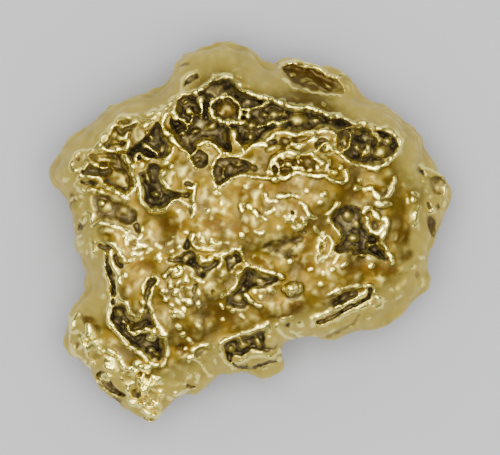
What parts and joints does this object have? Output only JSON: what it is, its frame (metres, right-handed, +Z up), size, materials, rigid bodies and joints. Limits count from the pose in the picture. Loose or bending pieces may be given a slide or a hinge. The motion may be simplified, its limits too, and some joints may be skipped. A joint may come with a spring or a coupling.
{
  "type": "gold nugget",
  "caption": "Small natural gold nugget: an irregular, flattened lump with pits, sharp bright ridges and smooth worn flanks, lying on its flattest side.",
  "frame": {"origin": "on the resting face, under the middle of the nugget's outline", "axes": "+X along the longest side, +Y across it, +Z up from the face it rests on to the pitted side"},
  "size_m": [0.01, 0.0094, 0.0046],
  "materials": {
    "natural_gold": "natural gold: satin on the worn flanks, polished on the ridges, stained olive brown in the pits"
  },
  "bodies": {
    "root": {"nugget": "natural_gold"}
  },
  "joints": []
}
